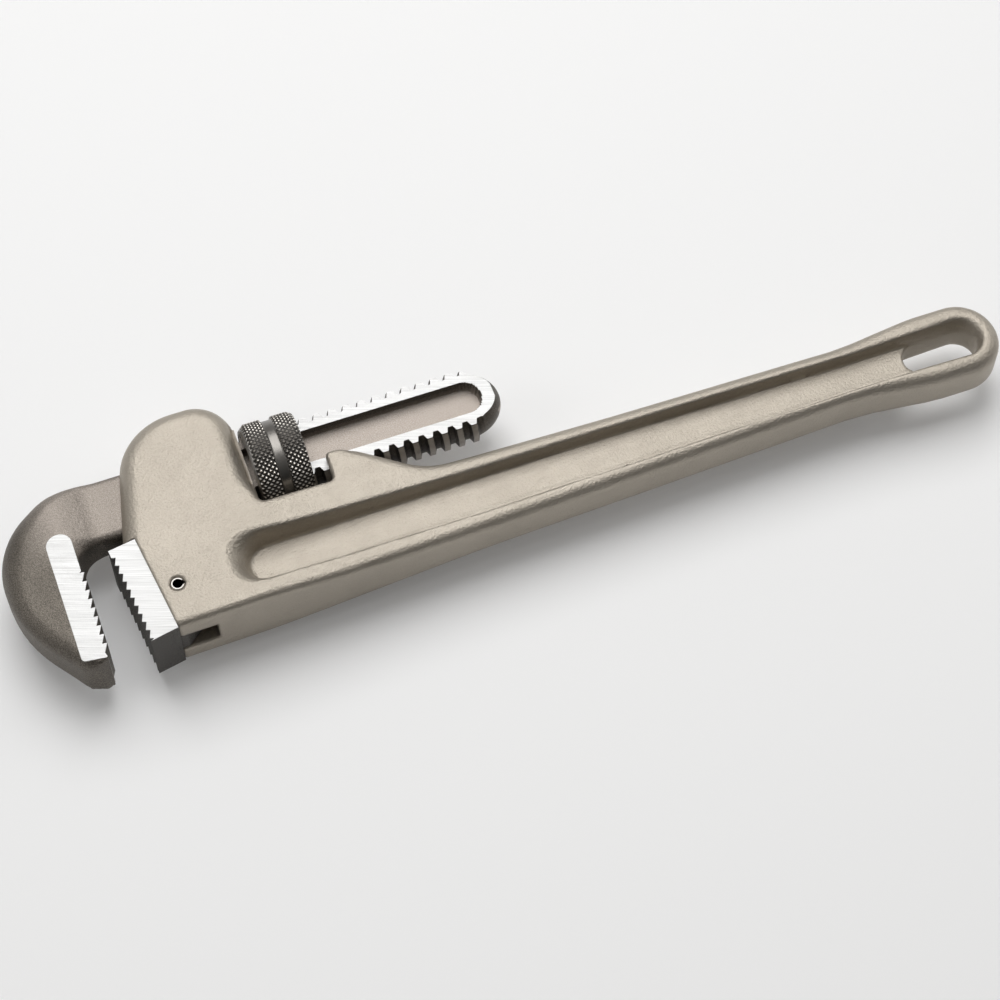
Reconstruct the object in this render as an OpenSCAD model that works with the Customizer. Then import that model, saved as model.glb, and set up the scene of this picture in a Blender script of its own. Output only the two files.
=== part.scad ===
// Pipe wrench with an aluminium handle: a fixed heel jaw, and a hook jaw that a
// knurled nut draws through the head. Millimetres; +X towards the handle's end,
// +Y towards the back of the head, +Z up, lying flat on the nut's rim.
// Shapes are laid out from the nut's centre and moved to the base centre at the end.

/* [Overall] */
// From the nut's centre to the handle's far end
handle_reach = 254.8; // [215:0.2:306]
// Thickness of the head over its flat sides
head_t = 25.1; // [24:0.1:31]
// Thickness of the handle over its flanges
handle_t = 17.4; // [15:0.1:21]
// From the nut's centre to the back of the head
head_back = 27.6; // [27:0.1:33]

/* [Hook jaw] */
// Thickness of the shank
shank_t = 12.2; // [10:0.1:14.8]
// Thickness of the hook
hook_t = 20.8; // [17:0.1:24]
// From the nut's centre to the hook's outer side
hook_reach = 101.3; // [99:0.1:108]
// Radius over the shank's thread crests
crest_r = 12.84; // [10.7:0.02:13.4]
// Depth of the thread on the shank
thread_depth = 1.74; // [1.3:0.02:1.9]
// Pitch of the thread
pitch = 5.35; // [4.5:0.05:6.4]
// Depth of the recess in each side of the shank
recess_depth = 4.3; // [2:0.1:4.5]
// Depth of the hook's teeth
hook_tooth = 1.6; // [0.8:0.1:2]
// Number of teeth on the hook
hook_teeth = 9; // [7:1:10]

/* [Heel jaw] */
// Thickness of the heel jaw
heel_t = 24; // [18:0.1:24]
// Thickness of the tang that sits in the handle
tang_t = 8.7; // [6:0.1:11]
// Depth of the heel's teeth
heel_tooth = 1.4; // [0.8:0.1:2]
// Number of teeth on the heel
heel_teeth = 10; // [7:1:12]
// Diameter of the rolled pin
pin_d = 5; // [4:0.1:7.5]
// Bore of the rolled pin
pin_bore = 2.8; // [2.2:0.1:3.7]

/* [Nut] */
// Diameter over the knurls
nut_d = 33.7; // [31.5:0.1:34.4]
// Width of the nut along the shank
nut_w = 19.2; // [16:0.1:20]
// Depth of the smooth groove between the knurls
groove_depth = 1.1; // [0.4:0.1:1.5]

/* [Springs] */
// Wire of the coil spring
wire_d = 1.2; // [0.8:0.1:1.4]
// Thickness of the flat spring
leaf_t = 0.8; // [0.5:0.1:1]

/* [Fits] */
// Gap round the thread, and between shank and flat spring
thread_gap = 0.35; // [0.25:0.05:0.5]
// Gap on each side of the shank in its channel
side_gap = 0.4; // [0.3:0.05:0.6]
// How far the hook jaw rocks each way, in degrees
rock = 2; // [1:0.5:2.5]

/* [Hidden] */
$fn = 96;
e = 0.01;

// Thread: a right-hand helix, cut away on the shank's two flat sides
root_r = crest_r - thread_depth;
bore_r = crest_r + thread_gap;
lead = atan(pitch / (PI * (root_r + crest_r)));
tip_land = 0.38 * pitch;     // width of a tooth at its crest
root_land = 0.66 * pitch;    // width of a tooth at its root
thread_start = -18;
gap_x = thread_start + 1;    // middle of the first gap between teeth, at angle 0
thread_end = 74;
crown_x = 68.7;              // where the shank's end begins to round off
crown_len = 12.8;
recess_start = -30;
recess_end = 74.4;
recess_half = 6.35;

// Handle and head
grip_top = -22.5;            // the handle's top edge under the shank
grip_low = -54.8;            // its bottom edge under the heel jaw
loop_y = -36.8;              // middle of the loop at the handle's end
loop_r = 14.4;
web_t = 7;                   // web between the two pockets
slot_len = 27.5;             // hang hole
slot_r = 6.15;
slot_end = handle_reach - 7.8;
wall_x = -nut_w / 2 - 1.3;   // head's face beside the nut
post_x = nut_w / 2 + 5.6;    // horn's face on the nut's other side
window_low = -nut_d / 2 - 1;
channel_z = shank_t / 2 + side_gap;

// Heel jaw: its front leans back towards the mouth's far end
heel_top = [-64.5, -19.8];
heel_low = [-60.3, -57];
seat_top = [-54.8, -18.3];
seat_low = [-50.4, -55.2];
tang_end = -40;
pin_at = [-46.1, -39.6];

// Hook
face_x = -73.9;              // over the hook's tooth tips
teeth_top = -23.6;
hook_pitch = 31.5 / 9;
hook_low = -58.2;

// Springs: the coil stands on the flat spring, which lies along the shank's back
leaf_low = crest_r + thread_gap;
leaf_top = leaf_low + leaf_t;
coil_x = -32;
coil_r = 3.4;                // to the middle of the wire
coil_roof = head_back - 4.8;
coil_turns = 3.5;

// Where the nut's centre lies in the part's own frame
x_mid = (handle_reach - hook_reach) / 2;
y_mid = (head_back + hook_low) / 2;

module place() translate([-x_mid, -y_mid, nut_d / 2]) children();

function unit(v) = v / norm(v);
// Points of an arc, or of an ellipse, about c
function arc(c, r, from, to, n) =
    [for (i = [0:n]) let (a = from + (to - from) * i / n) c + [r * cos(a), r * sin(a)]];
// One corner b of an outline, between a and c, rounded to radius b[2]
function corner(a, b, c) =
    let (p = [b.x, b.y], u = unit([a.x, a.y] - p), v = unit([c.x, c.y] - p),
         half = acos(u * v) / 2, o = p + unit(u + v) * b[2] / sin(half),
         f = p + u * b[2] / tan(half) - o, g = p + v * b[2] / tan(half) - o,
         start = atan2(f.y, f.x), turn = (atan2(g.y, g.x) - start + 540) % 360 - 180)
    arc(o, b[2], start, start + turn, max(2, ceil(abs(turn) / 8)));
// An outline of [x, y, corner radius] points
function rounded(pts) =
    let (n = len(pts))
    [for (i = [0:n - 1])
        each pts[i][2] > 0 ? corner(pts[(i + n - 1) % n], pts[i], pts[(i + 1) % n])
                           : [[pts[i].x, pts[i].y]]];

// A plate of the outline, centred on the middle plane
module plate(pts, t) linear_extrude(t, center = true) polygon(pts);
// The same plate seen from the side: x against half thickness, through all y
module side_profile(steps)
    rotate([90, 0, 0])
        linear_extrude(400, center = true)
            polygon(concat(steps, [for (i = [len(steps) - 1:-1:0]) [steps[i].x, -steps[i].y]]));
// A solid turned about the shank's axis, from [radius, x] points
module turned(pts) rotate([0, 90, 0]) rotate_extrude() polygon(pts);

// ---- handle: one casting of grip, head and horn ----
function handle_outline() = rounded([
    [-59.6, -18, 1.2], [-48.8, head_back, 24], [wall_x, head_back, 14],
    [wall_x, window_low, 1.5], [post_x, window_low, 1.5],
    [post_x + 0.4, -6.6, 1], [24.5, -6.6, 14], [47, grip_top + 0.3, 24],
    [113, grip_top - 1.5, 0], [handle_reach - 55, grip_top - 2.8, 60],
    [handle_reach - 28, loop_y + loop_r, 40], [handle_reach, loop_y + loop_r, loop_r - e],
    [handle_reach, loop_y - loop_r, loop_r - e], [handle_reach - 28, loop_y - loop_r, 50],
    [handle_reach - 56, grip_low + 7.2, 60], [113, grip_low + 4.1, 0],
    [7, grip_low + 0.5, 0], [seat_low.x, grip_low - 0.3, 1], [seat_top.x, seat_top.y, 0]]);

function pocket_outline() = rounded([
    [-27.5, -28.3, 9], [-27.5, -48.1, 9], [113, -44.9, 0],
    [handle_reach - 55, -43.3, 0], [handle_reach - 6, -43.9, 6.2],
    [handle_reach - 6, -30.9, 6.2], [handle_reach - 55, -30.1, 0], [113, -29.5, 0]]);

function channel_outline() =
    let (drop = sin(rock), roof = leaf_top + 0.9 + 0.3, floor_y = crest_r + 0.5)
    [[-61, roof + 61 * drop], [wall_x / 2, roof + 11 * drop], [60, roof + 60 * drop],
     [60, -floor_y - 60 * drop], [0, -floor_y], [-61, -floor_y - 61 * drop]];

module handle() color("#c9c0b6") place() difference() {
    intersection() {
        plate(handle_outline(), head_t);
        side_profile([[-62, head_t / 2], [-22, head_t / 2], [7, (head_t + handle_t) / 4 - 0.4],
                      [65, handle_t / 2], [handle_reach + 1, handle_t / 2]]);
    }
    plate(channel_outline(), 2 * channel_z);
    for (side = [1, -1])
        translate([0, 0, side * (web_t + head_t) / 2])
            plate(pocket_outline(), head_t);
    // hang hole
    plate(rounded([for (s = [[-1, -1], [-1, 1], [1, 1], [1, -1]])
        [slot_end - slot_len / 2 + s.x * slot_len / 2, loop_y - 0.8 + s.y * slot_r,
         slot_r - e]]), head_t);
    // seat of the tang, open at the front and below
    plate([[-62, -24], [-37.6, -24], [-36.4, -60], [-62, -60]], tang_t + 0.3);
    translate(pin_at) cylinder(d = pin_d, h = 2 * head_t, center = true);
    translate([coil_x, coil_roof, 0]) rotate([90, 0, 0])
        cylinder(r = coil_r + wire_d / 2 + 0.5, h = coil_roof - leaf_top + 1);
}

// ---- heel jaw: a toothed block on a tang, pinned in the handle ----
// Each tooth slopes out towards the mouth and drops back square
function heel_front() =
    let (along = unit(heel_low - heel_top), out = [along.y, -along.x],
         first = heel_top + 3.2 * along,
         step = (norm(heel_low - heel_top) - 4) / heel_teeth)
    [for (i = [0:heel_teeth - 1]) each [
        if (i == 0) first - 0.3 * along,
        first + i * step * along - heel_tooth * out,
        first + (i + 0.97) * step * along,
        first + (i + 1) * step * along - heel_tooth * out]];

module heel_jaw() color("#5f5c58") place() difference() {
    union() {
        plate(concat([heel_top, seat_top, seat_low, heel_low + [0.2, 0]],
                     [for (i = [len(heel_front()) - 1:-1:0]) heel_front()[i]]), heel_t);
        plate([seat_top - [2, 9], [tang_end, -27], [tang_end + 1.4, -54.4],
               [seat_low.x - 2, -54.4]], tang_t);
    }
    translate(pin_at) cylinder(d = pin_d, h = 2 * head_t, center = true);
}

// A strip of steel rolled into a split tube
module heel_jaw_pin() color("#b8b6b2") place() translate(pin_at) difference() {
    cylinder(d = pin_d, h = head_t - 0.6, center = true);
    cylinder(d = pin_bore, h = head_t, center = true);
    translate([pin_d / 2, 0, 0]) cube([pin_d, 0.9, head_t], center = true);
}

// ---- hook jaw: one forging of hook, arm and threaded shank ----
function hook_outline() = concat(
    rounded([[-57, -12.2, 0], [-57, 12, 0], [-hook_reach, 11.4, 28.6], [-hook_reach, -33.6, 48],
             [-82.9, hook_low, 7], [face_x - 0.8, hook_low, 1],
             [face_x - hook_tooth, teeth_top - hook_teeth * hook_pitch, 0]]),
    [for (i = [hook_teeth - 1:-1:0]) each [
        [face_x, teeth_top - (i + 0.04) * hook_pitch],
        [face_x - hook_tooth, teeth_top - i * hook_pitch]]],
    corner([face_x - 0.9, teeth_top], [face_x - 0.9, -12.2, 9], [-57, -12.2]));

// The teeth along the +y edge: slices of rings that lean by the thread's lead angle
module edge_teeth(first, lean) {
    foot = root_r - 0.6;
    half_foot = root_land / 2 + 0.3 * (root_land - tip_land) / thread_depth;
    intersection() {
        for (x = [first:pitch:thread_end])
            translate([x, 0, 0]) rotate([0, lean, 0])
                turned([[foot, -half_foot], [foot, half_foot],
                        [crest_r, tip_land / 2], [crest_r, -tip_land / 2]]);
        translate([0, crest_r, 0]) cube([300, 2 * crest_r, shank_t], center = true);
    }
}

module hook_jaw() color("#6b645d") place() difference() {
    union() {
        intersection() {
            plate(hook_outline(), hook_t);
            side_profile([[-hook_reach - 1, hook_t / 2], [face_x - 0.1, hook_t / 2],
                          [face_x + 6.4, shank_t / 2], [0, shank_t / 2]]);
        }
        intersection() {
            turned([[0, -66], [crest_r, -66], [crest_r, thread_start],
                    [root_r, thread_start + thread_depth / 2],
                    for (i = [0:8]) let (t = i * 10)
                        [root_r * cos(t), crown_x + crown_len * sin(t)],
                    [0, crown_x + crown_len]]);
            cube([300, 4 * crest_r, shank_t], center = true);
        }
        edge_teeth(gap_x + pitch / 2, lead);
        mirror([0, 1, 0]) edge_teeth(gap_x + pitch, -lead);
    }
    for (side = [1, -1])
        translate([(recess_start + recess_end) / 2, 0, side * shank_t / 2])
            plate(rounded([for (s = [[-1, -1], [-1, 1], [1, 1], [1, -1]])
                [s.x * (recess_end - recess_start) / 2, s.y * recess_half,
                 recess_half - e]]), 2 * recess_depth);
}

// ---- nut ----
// The nut's thread: a ridge that winds inside the bore, in the shank's gaps
module nut_ridge() {
    half_tip = (pitch - root_land) / 2 - 0.55 * thread_gap;
    half_base = (pitch - tip_land) / 2 - 0.9 * thread_gap;
    section = [[root_r + thread_gap, half_tip], [root_r + thread_gap, -half_tip],
               [bore_r + 0.05, -half_base], [bore_r + 0.9, -half_base],
               [bore_r + 0.9, half_base], [bore_r + 0.05, half_base]];
    m = len(section);
    // at angle 0 a gap between two teeth lies at gap_x, and it moves on by a pitch a turn
    half_run = nut_w / 2 - half_base - 0.3;
    first = 360 * (-half_run - gap_x) / pitch;
    steps = ceil(720 * half_run / pitch / 9);
    turn = 720 * half_run / pitch / steps;
    pts = [for (i = [0:steps], s = section) let (a = first + turn * i)
        [gap_x + pitch * a / 360 + s[1], s[0] * cos(a), s[0] * sin(a)]];
    sides = [for (i = [0:steps - 1], j = [0:m - 1])
        [i * m + j, i * m + (j + 1) % m, (i + 1) * m + (j + 1) % m, (i + 1) * m + j]];
    polyhedron(pts, concat(sides, [[for (j = [m - 1:-1:0]) j],
                                   [for (j = [0:m - 1]) steps * m + j]]), convexity = 10);
}

module adjusting_nut() color("#4a4744") place() {
    r = nut_d / 2;
    x = nut_w / 2;
    groove_r = r - groove_depth;
    turned([[bore_r, -x + 0.8], [bore_r + 0.8, -x], [r - 1.9, -x], [r, -x + 2.3],
            [r, -1.7], [groove_r, -1.4], [groove_r, 2], [r, 2.3],
            [r, x - 1.5], [r - 1, x], [bore_r + 0.8, x], [bore_r, x - 0.8]]);
    nut_ridge();
}

// ---- springs ----
module coil_spring() color("#8d8a86") place() {
    sides = 8;
    per_turn = 16;
    steps = coil_turns * per_turn;
    low = leaf_top + wire_d / 2 + 0.15;
    rise = coil_roof - wire_d / 2 - 0.1 - low;
    pts = [for (i = [0:steps], j = [0:sides - 1])
        let (a = 360 * i / per_turn, b = 360 * j / sides,
             r = coil_r + wire_d / 2 * cos(b))
        [coil_x + r * cos(a), low + rise * i / steps - wire_d / 2 * sin(b), r * sin(a)]];
    polyhedron(pts, concat(
        [for (i = [0:steps - 1], j = [0:sides - 1])
            [i * sides + j, i * sides + (j + 1) % sides,
             (i + 1) * sides + (j + 1) % sides, (i + 1) * sides + j]],
        [[for (j = [sides - 1:-1:0]) j], [for (j = [0:sides - 1]) steps * sides + j]]),
        convexity = 10);
}

module flat_spring() color("#8d8a86") place()
    plate(concat([[-50.6, leaf_low + 0.9], [-48, leaf_low], [-16, leaf_low], [-14, leaf_low + 0.6]],
                 [[-14.3, leaf_top + 0.6], [-16.2, leaf_top], [-47.8, leaf_top],
                  [-50.4, leaf_top + 0.9]]), 10);

handle();
heel_jaw();
heel_jaw_pin();
hook_jaw();
adjusting_nut();
coil_spring();
flat_spring();
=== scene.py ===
# %% [markdown]
# # A pipe wrench with an aluminium handle
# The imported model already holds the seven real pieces, their sizes and their joints.
# Here each of them gets the surface that a foundry, a forge and a grinding wheel leave:
# soft fillets on the castings, crisp teeth, a knurl that can be gripped, and worn edges.

import bpy
import numpy as np
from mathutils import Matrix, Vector


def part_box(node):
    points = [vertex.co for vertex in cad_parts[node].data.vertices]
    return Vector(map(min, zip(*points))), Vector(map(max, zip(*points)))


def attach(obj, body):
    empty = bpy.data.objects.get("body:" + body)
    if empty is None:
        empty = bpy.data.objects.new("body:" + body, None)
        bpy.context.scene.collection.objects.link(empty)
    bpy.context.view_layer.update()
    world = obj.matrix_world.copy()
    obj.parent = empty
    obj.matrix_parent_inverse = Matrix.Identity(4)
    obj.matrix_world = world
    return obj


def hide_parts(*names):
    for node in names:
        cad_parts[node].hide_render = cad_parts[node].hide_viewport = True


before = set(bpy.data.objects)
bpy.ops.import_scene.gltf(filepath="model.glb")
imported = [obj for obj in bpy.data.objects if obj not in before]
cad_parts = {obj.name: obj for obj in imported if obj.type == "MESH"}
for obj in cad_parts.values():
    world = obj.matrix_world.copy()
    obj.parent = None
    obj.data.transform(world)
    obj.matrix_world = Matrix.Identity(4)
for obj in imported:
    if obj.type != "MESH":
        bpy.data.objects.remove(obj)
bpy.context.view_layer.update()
print("nodes:", sorted(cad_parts))

# %% [markdown]
# ## One origin for the whole tool
# A pipe wrench is drawn from its nut: the shank runs through the nut's centre, and the head
# and handle are set out from the same axis. So all shapes below are in millimetres from
# that centre, and one function moves them into the frame, in metres.

# %% Sizes that the frame already knows
MM = 0.001


def measured(node):
    """Lowest and highest corner of a CAD node, in metres, as two arrays."""
    low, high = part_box(node)
    return np.array(low), np.array(high)


nut_low, nut_high = measured("adjusting_nut")
CENTRE = (nut_low + nut_high) / 2


def from_centre(node):
    """The same two corners in millimetres from the nut's centre."""
    low, high = measured(node)
    return (low - CENTRE) / MM, (high - CENTRE) / MM


handle_low, handle_high = from_centre("handle")
hook_low, hook_high = from_centre("hook_jaw")
_, heel_high = from_centre("heel_jaw")
NUT_R = (nut_high - nut_low)[2] / 2 / MM
NUT_W = (nut_high - nut_low)[0] / MM
REACH = handle_high[0]
HEAD_HALF = handle_high[2]
HOOK_HALF = hook_high[2]
HEEL_HALF = heel_high[2]
SHANK_HALF = 6.1
print("handle reach %.1f, nut %.1f x %.1f mm" % (REACH, 2 * NUT_R, NUT_W))

# %% [markdown]
# ## Putting arrays into a mesh
# A mesh is two tables: where the points are, and which points each face joins. `from_pydata`
# takes both at once. A vertex attribute carries one more number per point, such as how
# exposed an edge is, and the material reads it later.


# %% A piece from arrays
def piece(name, points, faces, body, slot, material, smooth=True, **marks):
    """A closed mesh from points in millimetres from the nut's centre and faces as lists of
    point numbers, riding on a body; each mark is one value per point, an attribute."""
    mesh = bpy.data.meshes.new(name)
    place = np.asarray(points, float) * MM + CENTRE
    mesh.from_pydata(place.tolist(), [], [list(map(int, f)) for f in faces])
    for mark, values in marks.items():
        layer = mesh.attributes.new(mark, "FLOAT", "POINT")
        layer.data.foreach_set("value", np.asarray(values, np.float32))
    mesh.polygons.foreach_set("use_smooth", np.full(len(mesh.polygons), smooth))
    mesh.materials.append(material)
    mesh.update()
    made = bpy.data.objects.new(name, mesh)
    bpy.context.scene.collection.objects.link(made)
    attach(made, body)
    print("%-18s %6d points %6d faces" % (name, len(mesh.vertices), len(mesh.polygons)))
    return made


# %% [markdown]
# ## Outlines with round corners
# A pattern maker draws a casting with straight lines and then rounds every corner. The same
# works here: an outline is a short list of corners, each with its own radius, and the
# arcs are worked out. A spline through many points would be harder to change.


# %% Rounded outlines
def ease(value, start, end):
    """0 before start, 1 after end, and a smooth S between: 3t^2 - 2t^3."""
    t = np.clip((value - start) / (end - start), 0, 1)
    return t * t * (3 - 2 * t)


def rounded(corners, step=5.0):
    """Points of an outline of (x, y, radius) corners. Each arc touches both sides of its
    corner at radius / tan(half the corner's angle) from it, with a point every step degrees."""
    corners = np.array(corners, float)
    out = []
    for i, (x, y, r) in enumerate(corners):
        p = np.array([x, y])
        if r == 0:
            out.append(p[None])
            continue
        u = corners[i - 1, :2] - p
        v = corners[(i + 1) % len(corners), :2] - p
        u, v = u / np.linalg.norm(u), v / np.linalg.norm(v)
        half = np.arccos(np.clip(u @ v, -1, 1)) / 2
        middle = p + (u + v) / np.linalg.norm(u + v) * r / np.sin(half)
        f, g = p + u * r / np.tan(half) - middle, p + v * r / np.tan(half) - middle
        start = np.arctan2(f[1], f[0])
        turn = (np.arctan2(g[1], g[0]) - start + 3 * np.pi) % (2 * np.pi) - np.pi
        count = max(2, int(abs(np.degrees(turn)) / step) + 1)
        angle = start + turn * np.linspace(0, 1, count)
        out.append(middle + r * np.stack([np.cos(angle), np.sin(angle)], 1))
    return np.concatenate(out)


def outline_distance(x, y, outline):
    """Distance from points to an outline, negative inside: the nearest of all its sides,
    with the sign from how many sides a ray towards +x crosses."""
    best = np.full(x.shape, np.inf)
    inside = np.zeros(x.shape, bool)
    for a, b in zip(outline, np.roll(outline, -1, 0)):
        along = b - a
        length = along @ along
        if length < 1e-12:
            continue
        t = np.clip(((x - a[0]) * along[0] + (y - a[1]) * along[1]) / length, 0, 1)
        best = np.minimum(best, (x - a[0] - t * along[0]) ** 2 + (y - a[1] - t * along[1]) ** 2)
        if a[1] != b[1]:
            crossing = (a[1] > y) != (b[1] > y)
            inside ^= crossing & (x < a[0] + (y - a[1]) * along[0] / along[1])
    return np.where(inside, -1, 1) * np.sqrt(best)


class Field:
    """The distance to an outline, worked out once on a grid and then read anywhere with
    cubic weights, which is quick and leaves no facets."""

    def __init__(self, outline, step=0.5, margin=8.0):
        self.low = outline.min(0) - margin
        self.step = step
        size = ((outline.max(0) + margin - self.low) / step).astype(int) + 3
        x, y = np.meshgrid(*[self.low[k] + step * np.arange(size[k]) for k in (0, 1)],
                           indexing="ij")
        self.grid = outline_distance(x, y, outline)

    def __call__(self, x, y):
        spots, weights = [], []
        for value, low, size in zip((x, y), self.low, self.grid.shape):
            u = np.clip((value - low) / self.step, 1.001, size - 2.001)
            i = np.floor(u).astype(int)
            t = u - i
            spots.append(i)
            weights.append([t * (t * (2 - t) - 1) / 2, (t * t * (3 * t - 5) + 2) / 2,
                            t * (t * (4 - 3 * t) + 1) / 2, t * t * (t - 1) / 2])
        total = np.zeros(np.shape(x))
        for a in range(4):
            for b in range(4):
                total += (weights[0][a] * weights[1][b]
                          * self.grid[spots[0] + a - 1, spots[1] + b - 1])
        return total


# %% [markdown]
# ## Castings as a distance
# A casting or forging has no edge without a fillet, and its fillets change along the part.
# Bevels on a modelled block are uneven where several meet. A distance function does it
# simply: each feature is one distance, one is cut from another with a smooth maximum
# whose radius is the fillet, and the surface is where the distance is zero.
# That surface has no two parameters, so it is found on a grid of cells, and its points
# are then slid onto the exact zero.


# %% Distances, and the surface where one is zero
def cut(a, b, r):
    """a without b: the larger of a and -b, plus a parabola where they are closer than r."""
    h = np.maximum(r - np.abs(a + b), 0)
    return np.maximum(a, -b) + h * h / (4 * r)


def both(side, lid, r):
    """Where side and lid are both negative, the corner between them rounded to radius r."""
    a, b = side + r, lid + r
    return np.hypot(np.maximum(a, 0), np.maximum(b, 0)) + np.minimum(np.maximum(a, b), 0) - r


def slope(shape, p, reach=0.05):
    """The gradient of a distance by central differences."""
    out = np.empty_like(p)
    for k in range(3):
        d = np.zeros(3)
        d[k] = reach
        out[:, k] = (shape(p + d) - shape(p - d)) / (2 * reach)
    return out


def skin(shape, low, high, step, rounds=5):
    """Points and quads of the surface shape(p) = 0. Each cell of the grid that the surface
    crosses gets one point, the mean of its edge crossings, and each grid edge that it
    crosses joins the four cells round it. Newton steps then move the points to the zero."""
    axes = [np.arange(low[k], high[k] + step, step) for k in range(3)]
    value = np.stack([shape(np.stack(np.meshgrid([x], axes[1], axes[2], indexing="ij"), -1)
                            .reshape(-1, 3)).reshape(len(axes[1]), len(axes[2]))
                      for x in axes[0]])
    corner = [(i, j, k) for i in (0, 1) for j in (0, 1) for k in (0, 1)]
    n = np.array(value.shape) - 1
    at = {c: value[c[0]:c[0] + n[0], c[1]:c[1] + n[1], c[2]:c[2] + n[2]] for c in corner}
    total = np.zeros((*n, 3))
    count = np.zeros(n)
    for c in corner:
        for k in range(3):
            if c[k]:
                continue
            d = tuple(c[m] + (m == k) for m in range(3))
            crossed = (at[c] < 0) != (at[d] < 0)
            with np.errstate(divide="ignore", invalid="ignore"):
                t = np.where(crossed, at[c] / (at[c] - at[d]), 0)
            for m in range(3):
                total[..., m] += np.where(crossed, c[m] + (t if m == k else 0), 0)
            count += crossed
    full = count > 0
    number = np.full(n, -1)
    number[full] = np.arange(full.sum())
    p = (np.argwhere(full) + total[full] / count[full][:, None]) * step + np.array(low)
    quads = []
    for k in range(3):
        i, j = (k + 1) % 3, (k + 2) % 3
        line = np.moveaxis(value, (k, i, j), (0, 1, 2))
        cell = np.moveaxis(number, (k, i, j), (0, 1, 2))
        here, there = line[:-1, 1:-1, 1:-1] < 0, line[1:, 1:-1, 1:-1] < 0
        ring = np.stack([cell[:, :-1, :-1], cell[:, 1:, :-1], cell[:, 1:, 1:],
                         cell[:, :-1, 1:]], -1)
        quads += [ring[here & ~there], ring[~here & there][:, ::-1]]
    for _ in range(rounds):
        g = slope(shape, p)
        p = p - (shape(p) / np.maximum((g * g).sum(1), 0.05))[:, None] * g
    return p, np.concatenate(quads)


def exposure(shape, p, reach=1.2):
    """Two values a point, 0 on flats: how far an edge stands out, and how hollow a corner
    is, from the distance a little way under and over the surface."""
    normal = slope(shape, p)
    normal /= np.linalg.norm(normal, axis=1, keepdims=True)
    edge = (shape(p - normal * reach) + reach) / reach
    hollow = (reach - shape(p + normal * reach)) / reach
    return np.clip(edge, 0, 1), np.clip(hollow, 0, 1)

# %% [markdown]
# ## The casting: grip, head and horn in one
# The real one is poured in aluminium: a beam of I section that grows into a head with a
# channel through it. Two drafted pockets leave a thin web, and every wall leans so that
# the pattern comes out of the sand. So it is a rounded plate whose half thickness is a
# height over the plan: it thins from head to grip, and sinks to the web in the pockets.

# %% Plan of the casting
WALL_X = -NUT_W / 2 - 1.3
POST_X = NUT_W / 2 + 5.6
TOP = handle_high[1]
GRIP_TOP = -22.5
GRIP_LOW = -54.8
LOOP_Y = -36.8
LOOP_R = 14.4
WINDOW_LOW = -NUT_R - 1
SEAT = np.array([[-54.8, -18.3], [-50.4, -55.2]])
casting_plan = rounded([
    (-66, -44, 1.2), (-48.8, TOP, 24), (WALL_X, TOP, 14),
    (WALL_X, WINDOW_LOW, 2.2), (POST_X, WINDOW_LOW, 1.6),
    (POST_X + 0.4, -6.6, 1.6), (24.5, -6.6, 14), (47, GRIP_TOP + 0.3, 24),
    (113, GRIP_TOP - 1.5, 0), (REACH - 55, GRIP_TOP - 2.8, 60),
    (REACH - 28, LOOP_Y + LOOP_R, 40), (REACH, LOOP_Y + LOOP_R, LOOP_R - 0.05),
    (REACH, LOOP_Y - LOOP_R, LOOP_R - 0.05), (REACH - 28, LOOP_Y - LOOP_R, 50),
    (REACH - 56, GRIP_LOW + 7.2, 60), (113, GRIP_LOW + 4.1, 0),
    (7, GRIP_LOW + 0.5, 0), (-66, GRIP_LOW - 0.6, 0)])
floor_plan = rounded([
    (-20.5, -31.6, 7.4), (-20.5, -46.4, 7.4), (113, -45.1, 0), (REACH - 55, -43.8, 0),
    (REACH - 30, -43.4, 8), (REACH - 8.2, LOOP_Y - 6.6, 5.8), (REACH - 8.2, LOOP_Y + 5.4, 5.8),
    (REACH - 30, -31.4, 8), (REACH - 55, -31.7, 0), (113, -30.7, 0)])
lip_plan = rounded([
    (-29.6, -26.8, 9), (-29.6, -49.0, 9), (-8, -48.0, 30), (113, -45.9, 0),
    (REACH - 55, -44.8, 0), (REACH - 30, -45.2, 20),
    (REACH - 5.0, LOOP_Y - 9.6, 9), (REACH - 5.0, LOOP_Y + 9.0, 9),
    (REACH - 30, -29.4, 20), (REACH - 55, -30.3, 0), (113, -29.2, 0), (-6, -28.5, 30)])
plan = Field(casting_plan)
pocket_floor, pocket_lip = Field(floor_plan), Field(lip_plan)
print("plan points:", len(casting_plan), "pocket:", len(floor_plan), len(lip_plan))

# %% Its thickness, its pockets and its cuts
WEB_HALF = 3.5
GRIP_HALF = 8.7
NECK_HALF = 10.6
CHANNEL_HALF = 6.5
CHANNEL_ROOF = 15.2
CHANNEL_FLOOR = -13.4
ROCKING_ROOM = 0.035
SEAT_NORMAL = (0.993, 0.118)
SEAT_TOP = -18.1
TANG_END, TANG_TOP, TANG_SLOT_HALF = -37.4, -24, 4.5
LOOP_WALL, HOLE_LENGTH, HOLE_R = 7.8, 27.5, 6.15
HOLE_FIRST = REACH - LOOP_WALL - HOLE_LENGTH + HOLE_R
HOLE_LAST = REACH - LOOP_WALL - HOLE_R
HOLE_Y = LOOP_Y - 0.8
PIN = np.array([-46.1, -39.6])
PIN_HOLE_R = 2.55


def half_thickness(x):
    """Half the casting's thickness along x: the head, an eased step to the neck, then a
    long taper to the grip."""
    return (GRIP_HALF + (HEAD_HALF - NECK_HALF) * (1 - ease(x, -24, 14))
            + (NECK_HALF - GRIP_HALF) * (1 - ease(x, -4, 66)))


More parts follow.
